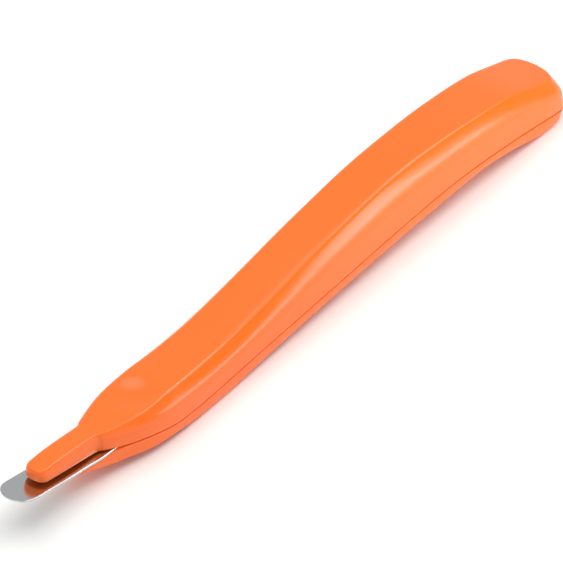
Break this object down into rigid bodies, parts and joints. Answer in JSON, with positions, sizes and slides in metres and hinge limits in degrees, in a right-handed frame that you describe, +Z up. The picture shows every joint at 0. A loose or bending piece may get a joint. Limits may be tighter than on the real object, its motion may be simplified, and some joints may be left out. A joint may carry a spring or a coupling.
{
  "type": "staple remover",
  "caption": "Slim push-style staple remover: S-curved moulded handle of two shells, thin curled steel blade, springy press tongue above it and a magnet in the nose.",
  "frame": {"origin": "middle of the object's length and width, on the surface that it lies on", "axes": "+X along the handle from the blade's tip to the tail, +Y across the handle, +Z up"},
  "size_m": [0.1592, 0.0154, 0.0177],
  "materials": {
    "orange_abs": "glossy moulded ABS, orange",
    "polished_stainless": "polished stainless steel strip",
    "nickel_plating": "bright nickel plating on a sintered magnet"
  },
  "bodies": {
    "handle": {"upper_shell": "orange_abs", "lower_shell": "orange_abs", "blade": "polished_stainless", "magnet": "nickel_plating"},
    "tongue": {"press_tongue": "orange_abs"}
  },
  "joints": [
    {"name": "tongue_flex", "type": "hinge", "parent": "handle", "child": "tongue", "pos_m": [-0.0565, 0, 0.0088], "axis": [0, -1, 0], "range_deg": [-3.5, 2], "stiffness_Nm_per_rad": 0.6}
  ]
}
